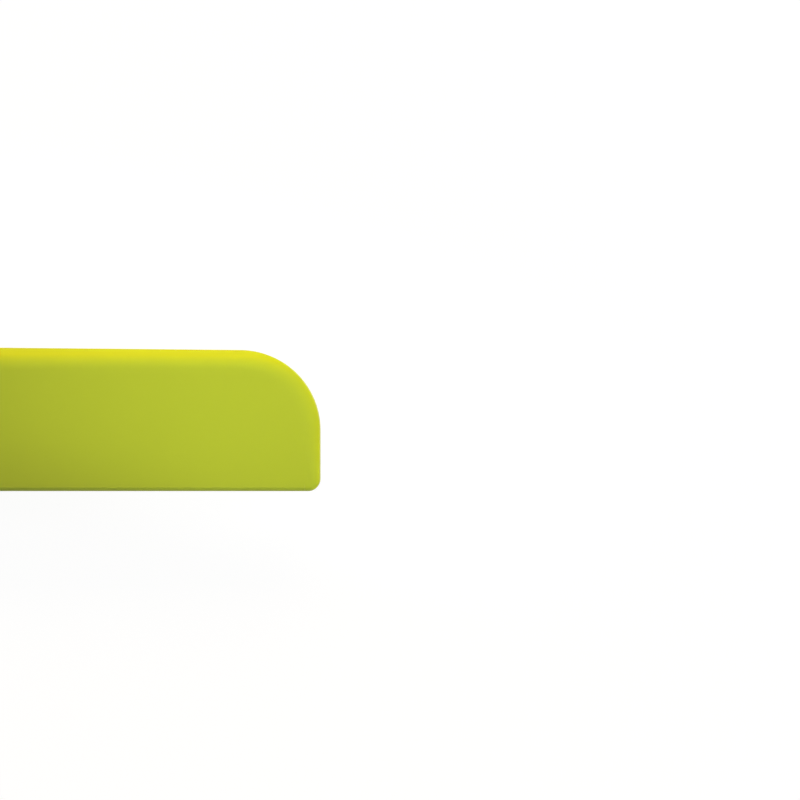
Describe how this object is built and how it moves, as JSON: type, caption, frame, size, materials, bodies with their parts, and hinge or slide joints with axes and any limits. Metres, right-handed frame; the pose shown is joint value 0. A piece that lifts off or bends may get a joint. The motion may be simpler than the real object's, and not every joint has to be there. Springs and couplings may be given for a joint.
{
  "type": "knife blade guard",
  "caption": "Long flat hinged cover for a kitchen knife's blade: two moulded halves that fold on a strip with thin films, held shut by magnets behind ribbed liners.",
  "frame": {"origin": "centre of the closed guard's outer box, on the rear half's outer face, which it lies on", "axes": "+X along the guard to its open mouth, +Y from the folded lower edge to the upper edge, +Z from the rear half to the front half"},
  "size_m": [0.216, 0.046, 0.0128],
  "materials": {
    "lime_plastic": "satin moulded polypropylene, yellow-green",
    "liner_plastic": "fine matt moulded polypropylene, yellow-green",
    "magnet": "nickel-plated sintered magnet"
  },
  "bodies": {
    "rear_half": {"rear_cover": "lime_plastic", "rear_liner": "liner_plastic", "rear_film": "lime_plastic", "rear_magnet_1": "magnet", "rear_magnet_2": "magnet", "rear_magnet_3": "magnet", "rear_magnet_4": "magnet"},
    "strip": {"fold_strip": "lime_plastic"},
    "front_half": {"front_cover": "lime_plastic", "front_liner": "liner_plastic", "front_film": "lime_plastic", "front_magnet_1": "magnet", "front_magnet_2": "magnet", "front_magnet_3": "magnet", "front_magnet_4": "magnet"}
  },
  "joints": [
    {"name": "rear_fold", "type": "hinge", "parent": "rear_half", "child": "strip", "pos_m": [0, -0.0224, 0.0006], "axis": [1, 0, 0], "range_deg": [0, 90], "deforming": ["rear_film"]},
    {"name": "front_fold", "type": "hinge", "parent": "strip", "child": "front_half", "pos_m": [0, -0.0224, 0.0122], "axis": [1, 0, 0], "range_deg": [0, 90], "deforming": ["front_film"]}
  ]
}
